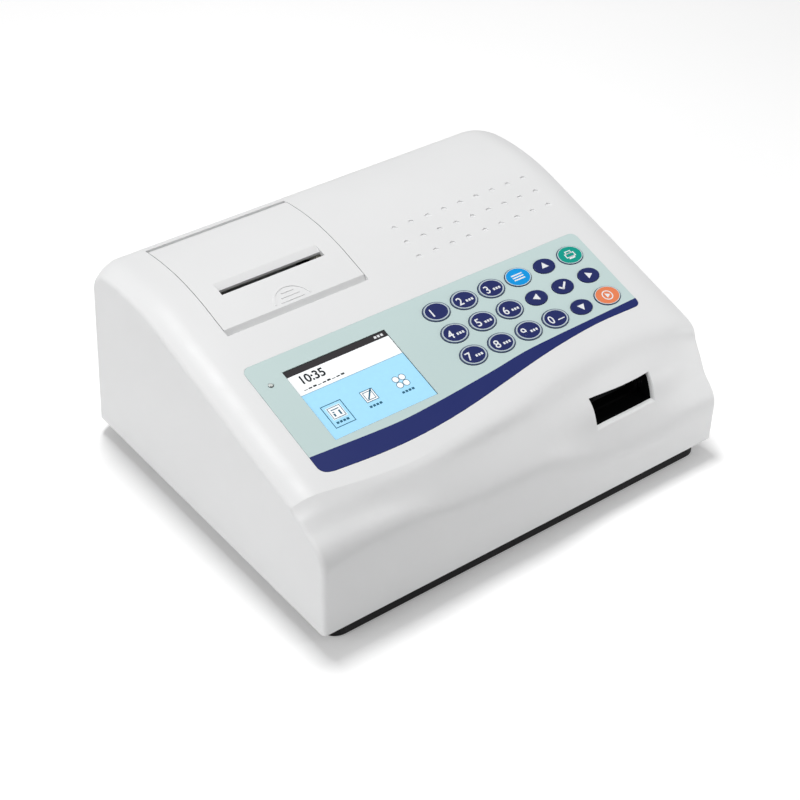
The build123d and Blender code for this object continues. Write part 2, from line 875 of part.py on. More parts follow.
def panel_screws(spots, under):
    """Short screws that hold a board or the display against the housing's bosses."""
    screws = []
    for spot in spots:
        shank = pad(Circle(board_screw_radius), under - board_screw_head, pilot_top - 0.5)
        head = pad(Circle(board_screw_head_radius), under - board_screw_head, under)
        screws.append(on_panel(shank + head, *spot))
    return screws


def status_led():
    lens = pad(Circle(led_radius), -led_length, 0.3)
    lens = fillet(lens.edges().sort_by(Axis.Z)[-1], 0.6)
    flange = pad(Circle(led_radius + 1), -skin - 1.2, -skin)
    return on_panel(lens + flange, led_across, led_up)


def keypad_board():
    board = pad(Rectangle(*board_size), board_top - board_thickness, board_top)
    for spot in board_screws:
        hole = pad(Circle(board_screw_radius + 0.1), board_top - 5, board_top + 1)
        board -= Pos(spot[0] - board_middle[0], spot[1] - board_middle[1]) * hole
    return on_panel(board, *board_middle)


def key_switches():
    switches = []
    for name, across, up_slope in key_places():
        body = pad(Rectangle(switch_size, switch_size), board_top, switch_top - 0.6)
        plunger = pad(Circle(1.7), board_top, switch_top)
        switches.append(on_panel(body + plunger, across, up_slope))
    return switches


# ---- Gears ----
def involute(angle):
    return tan(angle) - angle


def gear_outline(module, teeth):
    """A 20 degree gear with one tooth pointing along +Y and thinned for backlash."""
    pressure = radians(20)
    pitch = module * teeth / 2
    base = pitch * cos(pressure)
    root = pitch - 1.25 * module
    tip = pitch + 0.95 * module
    half_pitch = (pi * module / 2 - tooth_backlash * module) / (2 * pitch)

    def half_angle(radius):
        if radius <= base:
            return half_pitch + involute(pressure)
        return half_pitch + involute(pressure) - involute(acos(base / radius))

    radii = [root, max(base, root + 0.05), pitch, tip]
    points = []
    for tooth in range(teeth):
        middle = pi / 2 + tooth * 2 * pi / teeth
        for side, steps in ((-1, radii), (1, radii[::-1])):
            for radius in steps:
                angle = middle + side * half_angle(radius)
                points.append((radius * cos(angle), radius * sin(angle)))
    return make_face(Polyline(*points, close=True))


def gear_across(module, teeth, start, width, back, up, turned=0.0):
    """A gear on an axis from side to side; turned is in degrees."""
    outline = Rot(0, 0, turned) * gear_outline(module, teeth)
    plane = Plane(origin=place(start, back, up), x_dir=(0, 1, 0), z_dir=(1, 0, 0))
    return extrude(plane * outline, amount=width)


# ---- Strip tray and its drive ----
port_middle = port_left + port_width / 2
tray_across = (port_middle - tray_width / 2, port_middle + tray_width / 2)
tray_top = tray_bottom + tray_height
rack_line = tray_bottom - rack_backing - 1.25 * rack_module
pinion_radius = rack_module * pinion_teeth / 2
pinion_up = rack_line - pinion_radius
guide_inside = (tray_across[0] - tray_clearance, tray_across[1] + tray_clearance)
guide_outside = (guide_inside[0] - guide_wall, guide_inside[1] + guide_wall)
guide_bottom = tray_bottom - tray_clearance - guide_floor
guide_top = tray_top + tray_clearance + guide_wall
motor_face = guide_outside[1] + 1 + motor_plate


def rack_bar():
    """The toothed bar under the tray, drawn with a gap between teeth above the pinion."""
    pitch = pi * rack_module
    lean = 1.25 * rack_module * tan(radians(20))
    tip_lean = 0.95 * rack_module * tan(radians(20))
    half = (pitch / 2 - tooth_backlash * rack_module) / 2
    root = rack_line + 1.25 * rack_module
    tip = rack_line - 0.95 * rack_module
    before = round((pinion_back - rack_start) / pitch)
    first = pinion_back - (before - 0.5) * pitch
    start = first - pitch / 2
    points = [(start, tray_bottom + 0.2), (start, root)]
    for tooth in range(rack_teeth):
        middle = first + tooth * pitch
        points.append((middle - half - lean, root))
        points.append((middle - half + tip_lean, tip))
        points.append((middle + half - tip_lean, tip))
        points.append((middle + half + lean, root))
    end = first + (rack_teeth - 0.5) * pitch
    points += [(end, root), (end, tray_bottom + 0.2)]
    ends = (port_middle - rack_width / 2, port_middle + rack_width / 2)
    return side_prism(points, ends)


def strip_tray():
    body = block(tray_across, (tray_front, tray_front + tray_length), (tray_bottom, tray_top))
    body = fillet(body.edges().filter_by(Axis.Z).group_by(Axis.Y)[0], 3)
    drip_across = (port_middle - drip_width / 2, port_middle + drip_width / 2)
    drip_back = (tray_front + 8, tray_front + 8 + strip_length)
    body -= block(drip_across, drip_back, (tray_top - drip_depth, tray_top + 1))
    strip_across = (port_middle - strip_width / 2, port_middle + strip_width / 2)
    strip_back = (tray_front + 3, drip_back[1])
    groove_low = tray_top - drip_depth - strip_depth
    body -= block(strip_across, strip_back, (groove_low, tray_top + 1))
    return body + rack_bar()


def tray_guide():
    back = (guide_front, guide_back)
    guide = block(guide_outside, back, (guide_bottom, guide_top))
    through = (back[0] - 1, back[1] + 1)
    guide -= block(guide_inside, through, (guide_bottom + guide_floor, tray_top + tray_clearance))
    mouth = (guide_inside[0] + guide_lip, guide_inside[1] - guide_lip)
    guide -= block(mouth, through, (tray_top, guide_top + 1))
    slot = (port_middle - rack_slot / 2, port_middle + rack_slot / 2)
    slot_up = (guide_bottom - 1, guide_bottom + guide_floor + 1)
    guide -= block(slot, (back[0] + guide_tie, back[1] + 1), slot_up)
    tie_back = (back[1] - guide_tie, back[1])
    tie = block(guide_outside, tie_back, (guide_bottom - tie_drop, guide_bottom + 0.5))
    tie -= block(slot, (tie_back[0] - 1, tie_back[1] + 1), (guide_bottom - 1.4, guide_bottom + 1))
    guide += tie
    leg_across = (guide_outside[0] + guide_leg_radius, guide_outside[1] - guide_leg_radius)
    for across in leg_across:
        for leg_back in (guide_front + 6, guide_back - 6):
            guide += rod_up(guide_leg_radius, across, leg_back, (pan_floor, guide_bottom + 1))
    bearing = (guide_outside[0] + 1, guide_outside[0] + 5)
    guide += block(bearing, (pinion_back - 6, pinion_back + 6), (pinion_up - 6, guide_bottom + 1))
    bore = (bearing[0] - 1, bearing[1] + 1)
    shaft_hole = pinion_shaft_radius + running_clearance
    return guide - rod_across(shaft_hole, bore, pinion_back, pinion_up)


def port_liner():
    """Dark channel from the port to the tray guide; its front leans back with the wall."""
    across = (port_across[0] - liner_wall, port_across[1] + liner_wall)
    low = port_up[0] - liner_wall
    rear = guide_front - fit
    front = [(liner_foot, low), liner_bend, liner_head]
    channel = side_prism(front + [(rear, liner_head[1]), (rear, low)], across)
    return channel - block(port_across, (0, guide_front + 1), port_up)


def tray_pinion():
    start = port_middle - pinion_width / 2
    gear = gear_across(rack_module, pinion_teeth, start, pinion_width, pinion_back, pinion_up)
    shaft_ends = (guide_outside[0] + 1, motor_face + 6)
    return gear + rod_across(pinion_shaft_radius, shaft_ends, pinion_back, pinion_up)


def tray_motor():
    half = tray_motor_size / 2
    body = block(
        (motor_face, motor_face + tray_motor_length),
        (pinion_back - half, pinion_back + half),
        (pinion_up - half, pinion_up + half),
    )
    body = chamfer(body.edges().filter_by(Axis.X), 2)
    hole = pinion_shaft_radius + running_clearance
    return body - rod_across(hole, (motor_face - 1, motor_face + 6.5), pinion_back, pinion_up)


def motor_bracket():
    half = tray_motor_size / 2 + 2
    plate = block(
        (motor_face - motor_plate, motor_face),
        (pinion_back - half, pinion_back + half),
        (pan_floor, pinion_up + half),
    )
    foot = block(
        (motor_face - motor_plate, motor_face + 16),
        (pinion_back - half, pinion_back + half),
        (pan_floor, pan_floor + motor_plate),
    )
    hole = rod_across(6, (motor_face - 5, motor_face + 1), pinion_back, pinion_up)
    return plate + foot - hole


def optical_head():
    bridge = block(
        guide_outside,
        (optics_back, optics_back + optics_length),
        (guide_top, guide_top + optics_bridge),
    )
    across = (port_middle - optics_width / 2, port_middle + optics_width / 2)
    top = guide_top + optics_bridge + optics_height
    head = block(across, (optics_back, optics_back + optics_length), (guide_top, top))
    window = block(
        (port_middle - 5, port_middle + 5),
        (optics_back + 9, optics_back + 19),
        (guide_top - 1, guide_top + 8),
    )
    return bridge + head - window


def optical_board():
    top = guide_top + optics_bridge + optics_height
    across = (port_middle - optics_width / 2 - 3, port_middle + optics_width / 2 + 3)
    back = (optics_back - 3, optics_back + optics_length + 6)
    board = block(across, back, (top, top + board_thickness))
    socket = block(
        (port_middle - 7, port_middle + 7),
        (optics_back + optics_length - 2, optics_back + optics_length + 4),
        (top + board_thickness, top + board_thickness + 6),
    )
    return board + socket


# ---- Printer ----
cover_middle = (cover_left + cover_right) / 2
plate_inside = (
    cover_middle - platen_length / 2 - printer_side_gap,
    cover_middle + platen_length / 2 + printer_side_gap,
)
feed_plane = plate_inside[1] + printer_plate + 1
feed_motor_up = platen_up - feed_module * (feed_teeth + feed_motor_teeth) / 2
bin_across = (
    cover_middle - roll_width / 2 - bin_margin - bin_wall,
    cover_middle + roll_width / 2 + bin_margin + bin_wall,
)
bin_radius = roll_radius + bin_margin


def printer_frame():
    sides = (plate_inside[0] - printer_plate, plate_inside[1] + printer_plate)
    rear = platen_back + platen_radius + 0.5
    frame = block(sides, (printer_front, rear), (printer_floor - printer_plate, platen_up + 4))
    hollow = block(plate_inside, (printer_front - 1, rear + 1), (printer_floor, platen_up + 5))
    frame -= hollow
    bearing = platen_shaft_radius + running_clearance
    frame -= rod_across(bearing, (sides[0] - 1, sides[1] + 1), platen_back, platen_up)
    motor_hole = (plate_inside[1] - 1, sides[1] + 1)
    frame -= rod_across(2.4, motor_hole, platen_back, feed_motor_up)
    legs = [
        rod_up(4, across, printer_front + 8, (pan_floor, printer_floor - printer_plate + 0.5))
        for across in (sides[0] + 4, sides[1] - 4)
    ]
    return frame + legs


def thermal_head():
    face = platen_back - platen_radius - 0.1
    across = (plate_inside[0] + 0.1, plate_inside[1] - 0.1)
    head_low = feed_motor_up + feed_motor_radius + 0.5
    head = block(across, (face - 2.5, face), (head_low, platen_up + 5))
    sink = block(across, (face - 9, face - 2.5), (printer_floor, platen_up - 4))
    for fin in range(5):
        middle = face - 9 + 1.3 * fin + 0.6
        groove = (middle - 0.3, middle + 0.3)
        sink -= block((across[0] + 3, across[1] - 3), groove, (platen_up - 12, platen_up))
    return head + sink


def platen():
    rubber = rod_across(
        platen_radius,
        (cover_middle - platen_length / 2, cover_middle + platen_length / 2),
        platen_back,
        platen_up,
    )
    ends = (plate_inside[0] - printer_plate - 1, feed_plane + feed_gear_width)
    return rubber + rod_across(platen_shaft_radius, ends, platen_back, platen_up)


def platen_gear():
    gear = gear_across(
        feed_module, feed_teeth, feed_plane, feed_gear_width, platen_back, platen_up
    )
    bore = (feed_plane - 1, feed_plane + feed_gear_width + 1)
    return gear - rod_across(platen_shaft_radius, bore, platen_back, platen_up)


def feed_pinion():
    gear = gear_across(
        feed_module,
        feed_motor_teeth,
        feed_plane,
        feed_gear_width,
        platen_back,
        feed_motor_up,
        turned=180 / feed_motor_teeth,
    )
    shaft = (plate_inside[1] - 4, feed_plane + feed_gear_width)
    return gear + rod_across(1, shaft, platen_back, feed_motor_up)


def feed_motor():
    ends = (plate_inside[1] - feed_motor_length, plate_inside[1] - 0.05)
    body = rod_across(feed_motor_radius, ends, platen_back, feed_motor_up)
    return body - rod_across(1.05, (ends[1] - 4.2, ends[1] + 1), platen_back, feed_motor_up)


def paper_bin():
    """Open-topped bin with a round floor; two spindle stubs carry the roll."""
    inside = (bin_across[0] + bin_wall, bin_across[1] - bin_wall)
    rim = well_low - fit
    outside = bin_radius + bin_wall
    front = roll_back - outside
    rear = roll_back + outside
    shape = rod_across(outside, bin_across, roll_back, roll_up)
    shape += block(bin_across, (front, rear), (roll_up, rim + 20))
    hollow = rod_across(bin_radius, inside, roll_back, roll_up)
    hollow += block(inside, (roll_back - bin_radius, roll_back + bin_radius), (roll_up, rim + 21))
    shape -= hollow
    shape -= block((0, housing_width), (0, housing_depth), (rim, rim + 40))
    for side, wall in ((1, inside[0]), (-1, inside[1])):
        ends = sorted((wall - side * 0.5, wall + side * (bin_margin + 8)))
        shape += rod_across(spindle_radius, ends, roll_back, roll_up)
    leg_low = (roll_back - 12, roll_back + 12)
    for across in (bin_across[0] + 3, bin_across[1] - 3):
        leg = block((across - 2, across + 2), leg_low, (pan_floor, roll_up - outside + 6))
        shape += leg - rod_across(outside - 1, bin_across, roll_back, roll_up)
    return shape


def paper_roll():
    across = (cover_middle - roll_width / 2, cover_middle + roll_width / 2)
    roll = rod_across(roll_radius, across, roll_back, roll_up)
    bore = (across[0] - 1, across[1] + 1)
    return roll - rod_across(roll_core_radius, bore, roll_back, roll_up)


def roll_core():
    across = (cover_middle - roll_width / 2, cover_middle + roll_width / 2)
    core = rod_across(roll_core_radius, across, roll_back, roll_up)
    bore = (across[0] - 1, across[1] + 1)
    return core - rod_across(spindle_radius + running_clearance, bore, roll_back, roll_up)


# ---- Rear panel ----
rear_plate_out = -skin - running_clearance
switch_hole = (19.0, 13.0)
switch_flange = (21.5, 15.5)
rocker_size = (17.0, 11.0)
jack_hole_radius = 4.5
usb_hole = (12.0, 11.0)
serial_hole = (17.5, 9.5)


def rear_panel():
    size = Rectangle(rear_width + 2 * rear_overlap, rear_height + 2 * rear_overlap)
    middle = (rear_left + rear_width / 2, rear_bottom + rear_height / 2)
    down = middle[1] - connector_up
    size -= Pos(switch_across - middle[0], down) * Rectangle(*switch_hole)
    size -= Pos(jack_across - middle[0], down) * Circle(jack_hole_radius)
    size -= Pos(usb_across - middle[0], down) * Rectangle(*usb_hole)
    size -= Pos(serial_across - middle[0], down) * Rectangle(*serial_hole)
    return on_rear(pad(size, rear_plate_out - rear_thickness, rear_plate_out), *middle)


def switch_frame():
    flange = Rectangle(*switch_flange) - Rectangle(rocker_size[0] + 0.8, rocker_size[1] + 0.8)
    flange = pad(flange, rear_plate_out, rear_plate_out + 1.5)
    body = Rectangle(switch_hole[0] - 0.2, switch_hole[1] - 0.2)
    body -= Rectangle(rocker_size[0] + 0.8, rocker_size[1] + 0.8)
    body = pad(body, rear_plate_out - 9, rear_plate_out)
    floor = Rectangle(switch_hole[0] - 0.2, switch_hole[1] - 0.2)
    floor = pad(floor, rear_plate_out - 11, rear_plate_out - 9)
    pin = pad(Rectangle(1, 5), rear_plate_out - 17, rear_plate_out - 11)
    pins = [Pos(dx, 0, 0) * pin for dx in (-6, 0, 6)]
    bore = Cylinder(pivot_radius + running_clearance, switch_hole[1])
    frame = flange + body + floor + pins - Pos(0, 0, rear_plate_out) * Rot(90, 0, 0) * bore
    return on_rear(frame, switch_across, connector_up)


def rocker():
    """Seesaw button, modelled with its off side pressed in."""
    half = rocker_size[0] / 2
    outline = [
        (-half, -2.5),
        (-half, 2.2),
        (0, 1.0),
        (half, 2.2),
        (half, -2.5),
        (0, -5.5),
    ]
    side = Plane.XZ * make_face(Polyline(*outline, close=True))
    shape = extrude(side, amount=rocker_size[1] / 2, both=True)
    shape += Rot(90, 0, 0) * Cylinder(pivot_radius, 2 * pivot_reach)
    return on_rear(Rot(0, -rocker_tilt, 0) * shape, switch_across, connector_up, rear_plate_out)


def power_jack():
    flange = pad(Circle(6), rear_plate_out, rear_plate_out + 1.5)
    body = pad(Circle(jack_hole_radius - 0.1), rear_plate_out - 12, rear_plate_out + 1)
    hole = pad(Circle(3.2), rear_plate_out - 10, rear_plate_out + 5)
    pin = pad(Circle(1), rear_plate_out - 11, rear_plate_out - 0.5)
    return on_rear(flange + body - hole + pin, jack_across, connector_up)


def usb_port():
    size = Rectangle(usb_hole[0] - 0.2, usb_hole[1] - 0.2)
    body = pad(size, rear_plate_out - 14, rear_plate_out + 0.8)
    body -= pad(Rectangle(8.6, 7.8), rear_plate_out - 9, rear_plate_out + 5)
    tongue = pad(Rectangle(5.6, 3.2), rear_plate_out - 10, rear_plate_out - 0.5)
    return on_rear(body + tongue, usb_across, connector_up)


def serial_port():
    flange = Rectangle(30.8, 12.5) - Pos(12.5, 0) * Circle(1.5) - Pos(-12.5, 0) * Circle(1.5)
    body = pad(flange, rear_plate_out, rear_plate_out + 0.8)
    core = Rectangle(serial_hole[0] - 0.2, serial_hole[1] - 0.2)
    body += pad(core, rear_plate_out - 10, rear_plate_out + 0.5)
    shell = Trapezoid(17.0, 8.4, 80)
    body += pad(shell, rear_plate_out, rear_plate_out + 4.5)
    for row, count in ((1.4, 5), (-1.4, 4)):
        for pin in range(count):
            spot = Pos((pin - (count - 1) / 2) * 2.74, -row)
            body -= spot * pad(Circle(0.55), rear_plate_out + 1, rear_plate_out + 6)
    return on_rear(body, serial_across, connector_up)


# ---- Main board ----
def main_board():
    board = block(
        (main_left, main_left + main_width),
        (main_front, main_front + main_depth),
        (main_board_low, main_board_low + board_thickness),
    )
    through = (main_board_low - 1, main_board_low + 3)
    for across, back in main_standoffs:
        board -= rod_up(board_screw_radius + 0.1, across, back, through)
    return board


def main_board_parts():
    """Processor, connectors and capacitors that stand on the main board."""
    low = main_board_low + board_thickness
    blocks = [
        ((70, 92), (80, 102), 2.0),
        ((105, 121), (74, 86), 1.6),
        ((58, 72), (115, 123), 1.8),
        ((110, 140), (133, 141), 9.0),
        ((150, 158), (80, 110), 8.0),
        ((60, 90), (58, 64), 7.0),
    ]
    pieces = [block(across, back, (low, low + height)) for across, back, height in blocks]
    for across, back in ((148, 125), (160, 125), (172, 125)):
        pieces.append(rod_up(4, across, back, (low, low + 11)))
    return pieces


def main_screws():
    low = main_board_low
    screws = []
    for across, back in main_standoffs:
        top = low + board_thickness
        head = rod_up(board_screw_head_radius, across, back, (top, top + board_screw_head))
        screws.append(head + rod_up(board_screw_radius, across, back, (low, top + 1)))
    return screws


def hinge_pins():
    return [rod_across(hinge_pin_radius, ends, cover_hinge_back, hinge_up) for ends in pin_ends]


sub_parts = {
    "upper_housing": upper_housing(),
    "base_pan": base_pan(),
    "feet": feet(),
    "case_screws": [case_screw(*spot) for spot in column_places],
    "keypad_overlay": keypad_overlay(),
    "screen_pane": screen_pane(),
    "display_module": display(),
    "display_screws": panel_screws(plate_screws, plate_top - display_plate_thickness),
    "status_led": status_led(),
    "keypad_board": keypad_board(),
    "key_switches": key_switches(),
    "keypad_screws": panel_screws(board_screws, board_top - board_thickness),
    "printer_cover": printer_cover(),
    "hinge_pins": hinge_pins(),
    "printer_frame": printer_frame(),
    "thermal_head": thermal_head(),
    "platen_roller": platen(),
    "platen_gear": platen_gear(),
    "feed_motor": feed_motor(),
    "feed_pinion": feed_pinion(),
    "paper_bin": paper_bin(),
    "paper_roll": paper_roll(),
    "roll_core": roll_core(),
    "strip_tray": strip_tray(),
    "tray_guide": tray_guide(),
    "port_liner": port_liner(),
    "tray_pinion": tray_pinion(),
    "tray_motor": tray_motor(),
    "motor_bracket": motor_bracket(),
    "optical_head": optical_head(),
    "optical_board": optical_board(),
    "rear_panel": rear_panel(),
    "switch_frame": switch_frame(),
    "power_rocker": rocker(),
    "power_jack": power_jack(),
    "usb_port": usb_port(),
    "serial_port": serial_port(),
    "main_board": main_board(),
    "main_board_parts": main_board_parts(),
    "main_screws": main_screws(),
}
for key_name, key_across, key_up in key_places():
    sub_parts["key_" + key_name] = key_piece(key_name, key_across, key_up)

os.makedirs("parts", exist_ok=True)
for node, shape in sub_parts.items():
    solids = shape if isinstance(shape, list) else [shape]
    pieces = [solid for piece in solids for solid in piece.solids()]
    whole = pieces[0] if len(pieces) == 1 else Compound(children=pieces)
    whole.label = node
    export_step(whole, os.path.join("parts", node + ".step"))
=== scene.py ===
from math import cos, hypot, pi, radians, sin

import bmesh
import bpy
from mathutils import Matrix, Vector


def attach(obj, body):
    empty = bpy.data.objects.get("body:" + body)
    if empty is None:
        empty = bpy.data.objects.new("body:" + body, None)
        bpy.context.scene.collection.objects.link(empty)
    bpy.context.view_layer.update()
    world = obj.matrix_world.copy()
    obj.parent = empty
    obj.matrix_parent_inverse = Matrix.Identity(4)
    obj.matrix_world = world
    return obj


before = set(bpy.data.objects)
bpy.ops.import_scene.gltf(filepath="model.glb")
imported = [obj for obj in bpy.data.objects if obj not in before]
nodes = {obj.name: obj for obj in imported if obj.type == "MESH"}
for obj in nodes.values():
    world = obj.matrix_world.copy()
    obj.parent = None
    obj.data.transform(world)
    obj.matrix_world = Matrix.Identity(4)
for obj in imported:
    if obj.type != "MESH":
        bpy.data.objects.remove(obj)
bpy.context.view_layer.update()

# Millimetres, as in the CAD source. Places on the control panel are (across, up the slope),
# from its lower left corner, and heights are above its surface.
MM = 0.001
WIDTH = 290.0
DEPTH = 242.0
LIFT = 11.5
PANEL_HEIGHT = 65.8
SLOPE = radians(16.4)
ACROSS = (1, 0, 0)
UP_SLOPE = (0, cos(SLOPE), sin(SLOPE))

KEY_TOP = 0.7
KEY_ROWS = [
    ["7", "8", "9", "0", "down", "start"],
    ["4", "5", "6", "left", "ok", "right"],
    ["1", "2", "3", "menu", "up", "print"],
]
KEY_FIRST = (149.3, 65.7)
KEY_PITCH = (20.46, 18.0)
KEY_HALF = (8.9, 7.0)
SMALL_KEYS = ("down", "left", "ok", "right", "up")
SMALL_KEY_HALF = (7.4, 5.5)

SCREEN_LEFT = 44.2
SCREEN_LOW = 52.5
SCREEN_WIDE = 69.7
SCREEN_HIGH = 52.2
PANE_TOP = -0.35
PRINT_GAP = 0.02    # how far the printed screen stands off the pane
PRINT_THICK = 0.03  # one printed layer
LAMP = (33.7, 99.9)
LAMP_TOP = 0.32

panel = Matrix((
    (1, 0, 0, -WIDTH / 2 * MM),
    (0, cos(SLOPE), -sin(SLOPE), -DEPTH / 2 * MM),
    (0, sin(SLOPE), cos(SLOPE), (LIFT + PANEL_HEIGHT) * MM),
    (0, 0, 0, 1),
))


def key_centres():
    for row, names in enumerate(KEY_ROWS):
        for column, name in enumerate(names):
            across = KEY_FIRST[0] + column * KEY_PITCH[0]
            yield name, across, KEY_FIRST[1] + row * KEY_PITCH[1]


# ---- Materials ----
NOISE_RANGE = (0.3, 0.7)  # noise seldom leaves this range
FIBRE = 0.35              # millimetres, as FILM_GRAIN
FILM_GRAIN = 0.35
# How many patches or traces a pattern has to the metre.
PLASTIC_PATCHES = 25
SHEEN_PATCHES = 60
METAL_PATCHES = 90
PRINT_PATCHES = 300
KEY_PATCHES = 120
PAPER_PATCHES = 700
LABEL_PATCHES = 9
PANE_PATCHES = 40
LENS_PATCHES = 500
FLOOR_PATCHES = 3
BOARD_TRACES = 180


def shaded(colour, share):
    return [part * share for part in colour]


class Nodes:
    """A new material and short ways to add nodes to it."""

    def __init__(self, name):
        self.material = bpy.data.materials.new(name)
        self.material.use_nodes = True
        self.tree = self.material.node_tree
        self.shader = self.tree.nodes["Principled BSDF"]

    def add(self, kind, **settings):
        node = self.tree.nodes.new(kind)
        for key, value in settings.items():
            setattr(node, key, value)
        return node

    def link(self, source, target):
        self.tree.links.new(source, target)

    def feed(self, value, socket):
        """Links another node's output, or sets a number or a colour."""
        if isinstance(value, (tuple, list)):
            socket.default_value = (*value, 1)
        elif isinstance(value, (int, float)):
            socket.default_value = value
        else:
            self.link(value, socket)

    def set(self, socket, value):
        """Sets or links a socket of the material's own shader."""
        self.feed(value, self.shader.inputs[socket])

    def place(self):
        return self.add("ShaderNodeTexCoord").outputs["Object"]

    def noise(self, scale, detail=2.0, stretch=(1, 1, 1)):
        mapping = self.add("ShaderNodeMapping")
        mapping.inputs["Scale"].default_value = stretch
        self.link(self.place(), mapping.inputs["Vector"])
        noise = self.add("ShaderNodeTexNoise")
        noise.inputs["Scale"].default_value = scale
        noise.inputs["Detail"].default_value = detail
        self.link(mapping.outputs["Vector"], noise.inputs["Vector"])
        return noise.outputs["Fac"]

    def spread(self, value, low=0, high=1):
        """Noise stretched so that it fills low to high."""
        node = self.add("ShaderNodeMapRange")
        node.inputs["From Min"].default_value = NOISE_RANGE[0]
        node.inputs["From Max"].default_value = NOISE_RANGE[1]
        node.inputs["To Min"].default_value = low
        node.inputs["To Max"].default_value = high
        self.link(value, node.inputs["Value"])
        return node.outputs["Result"]

    def mix(self, share, first, second):
        node = self.add("ShaderNodeMix", data_type="RGBA")
        # A mix node's sockets share their names: 0 is the share, 6 and 7 the colours, and its
        # colour comes out at 2.
        self.feed(share, node.inputs[0])
        self.feed(first, node.inputs[6])
        self.feed(second, node.inputs[7])
        return node.outputs[2]

    def blotches(self, scale, detail, first, second):
        """A colour that drifts between two close tones."""
        return self.mix(self.spread(self.noise(scale, detail)), first, second)

    def maths(self, how, first, second=0.0):
        node = self.add("ShaderNodeMath", operation=how)
        self.feed(first, node.inputs[0])
        self.feed(second, node.inputs[1])
        return node.outputs[0]

    def bump(self, height, strength, distance):
        """Relief on the surface; the distance is in millimetres."""
        node = self.add("ShaderNodeBump")
        node.inputs["Strength"].default_value = strength
        node.inputs["Distance"].default_value = distance * MM
        self.link(height, node.inputs["Height"])
        self.link(node.outputs["Normal"], self.shader.inputs["Normal"])

    def dot(self, direction, origin):
        """How far the surface lies from origin along a direction, in millimetres."""
        away = self.add("ShaderNodeVectorMath", operation="SUBTRACT")
        self.link(self.place(), away.inputs[0])
        away.inputs[1].default_value = origin
        along = self.add("ShaderNodeVectorMath", operation="DOT_PRODUCT")
        self.link(away.outputs[0], along.inputs[0])
        along.inputs[1].default_value = [part / MM for part in direction]
        return along.outputs["Value"]

    def rough(self, roughness, spread=0.04):
        """A sheen that is uneven by a little."""
        sheen = self.spread(self.noise(SHEEN_PATCHES), roughness - spread, roughness + spread)
        self.set("Roughness", sheen)


def plastic(name, colour, roughness, grain, depth, vary, coat=0.0, shine=0.5):
    """Moulded plastic with a spark-eroded grain, in millimetres, and faint changes of tone."""
    m = Nodes(name)
    m.set("Base Color", m.blotches(PLASTIC_PATCHES, 3, colour, shaded(colour, 1 - vary)))
    m.rough(roughness)
    m.bump(m.noise(1 / (grain * MM), 3), 0.35, depth)
    m.set("Coat Weight", coat)
    m.set("Coat Roughness", 0.25)
    m.set("Specular IOR Level", shine)
    return m.material


def metal(name, colour, roughness, stretch):
    """Metal with a fine directional grain."""
    m = Nodes(name)
    grain = m.noise(METAL_PATCHES, 4, stretch)
    m.set("Base Color", m.mix(m.spread(grain), colour, shaded(colour, 0.88)))
    m.set("Metallic", 1)
    m.set("Roughness", m.spread(grain, roughness - 0.08, roughness + 0.1))
    m.bump(grain, 0.15, 0.02)
    return m.material


def plain_print(name, colour, glow=0.0, roughness=0.3):
    """Ink or a patch of a lit screen."""
    m = Nodes(name)
    shade = m.blotches(PRINT_PATCHES, 2, colour, shaded(colour, 0.97))
    m.set("Base Color", shade)
    m.set("Roughness", roughness)
    m.set("Specular IOR Level", 0.15)
    if glow:
        m.set("Emission Color", shade)
        m.set("Emission Strength", glow)
    return m.material


def board_material():
    """Green board with copper traces under its lacquer."""
    m = Nodes("circuit_board")
    voronoi = m.add("ShaderNodeTexVoronoi", feature="DISTANCE_TO_EDGE", distance="MANHATTAN")
    voronoi.inputs["Scale"].default_value = BOARD_TRACES
    m.link(m.place(), voronoi.inputs["Vector"])
    trace = m.maths("LESS_THAN", voronoi.outputs["Distance"], 0.09)
    m.set("Base Color", m.mix(trace, (0.01, 0.14, 0.05), (0.03, 0.26, 0.10)))
    m.set("Roughness", 0.35)
    m.bump(trace, 0.3, 0.03)
    return m.material


def paper_material(name, colour):
    """Paper or card with short fibres that lie mostly flat."""
    m = Nodes(name)
    m.set("Base Color", m.blotches(PAPER_PATCHES, 4, colour, shaded(colour, 0.93)))
    m.set("Roughness", 0.85)
    m.bump(m.noise(1 / (FIBRE * MM), 4, (1, 1, 6)), 0.4, 0.03)
    return m.material


# Upper edge of the label's blue band: (across, up the slope).
BAND_TOP = [
    (25, 49.5), (41, 48.6), (65, 47.3), (84, 46.7), (108, 47.8), (135, 49.9),
    (154, 51.6), (178, 54.2), (200, 55.1), (226, 55.6), (266, 56.5),
]
BAND_UNIT = 100  # brings places up the slope into the curve node's range of 0 to 1
BAND_BLUE = (0.020, 0.030, 0.150)
TEAL = (0.545, 0.675, 0.665)
PALE_TEAL = (0.575, 0.70, 0.69)


def label_material():
    """Pale teal film with a fine grain and the printed blue band along its wavy lower edge."""
    m = Nodes("label_film")
    across = m.dot(ACROSS, panel.translation)
    up_slope = m.dot(UP_SLOPE, panel.translation)
    curve = m.add("ShaderNodeFloatCurve")
    line = curve.mapping.curves[0]
    places = [(x / WIDTH, v / BAND_UNIT) for x, v in BAND_TOP]
    line.points[0].location = places[0]
    line.points[1].location = places[-1]
    for x, v in places[1:-1]:
        line.points.new(x, v)
    curve.mapping.update()
    m.link(m.maths("DIVIDE", across, WIDTH), curve.inputs["Value"])
    band = m.maths("LESS_THAN", m.maths("DIVIDE", up_slope, BAND_UNIT), curve.outputs[0])
    m.set("Base Color", m.mix(band, m.blotches(LABEL_PATCHES, 2, TEAL, PALE_TEAL), BAND_BLUE))
    m.rough(0.42)
    m.set("Specular IOR Level", 0.12)
    m.bump(m.noise(1 / (FILM_GRAIN * MM), 3), 0.3, 0.012)
    return m.material


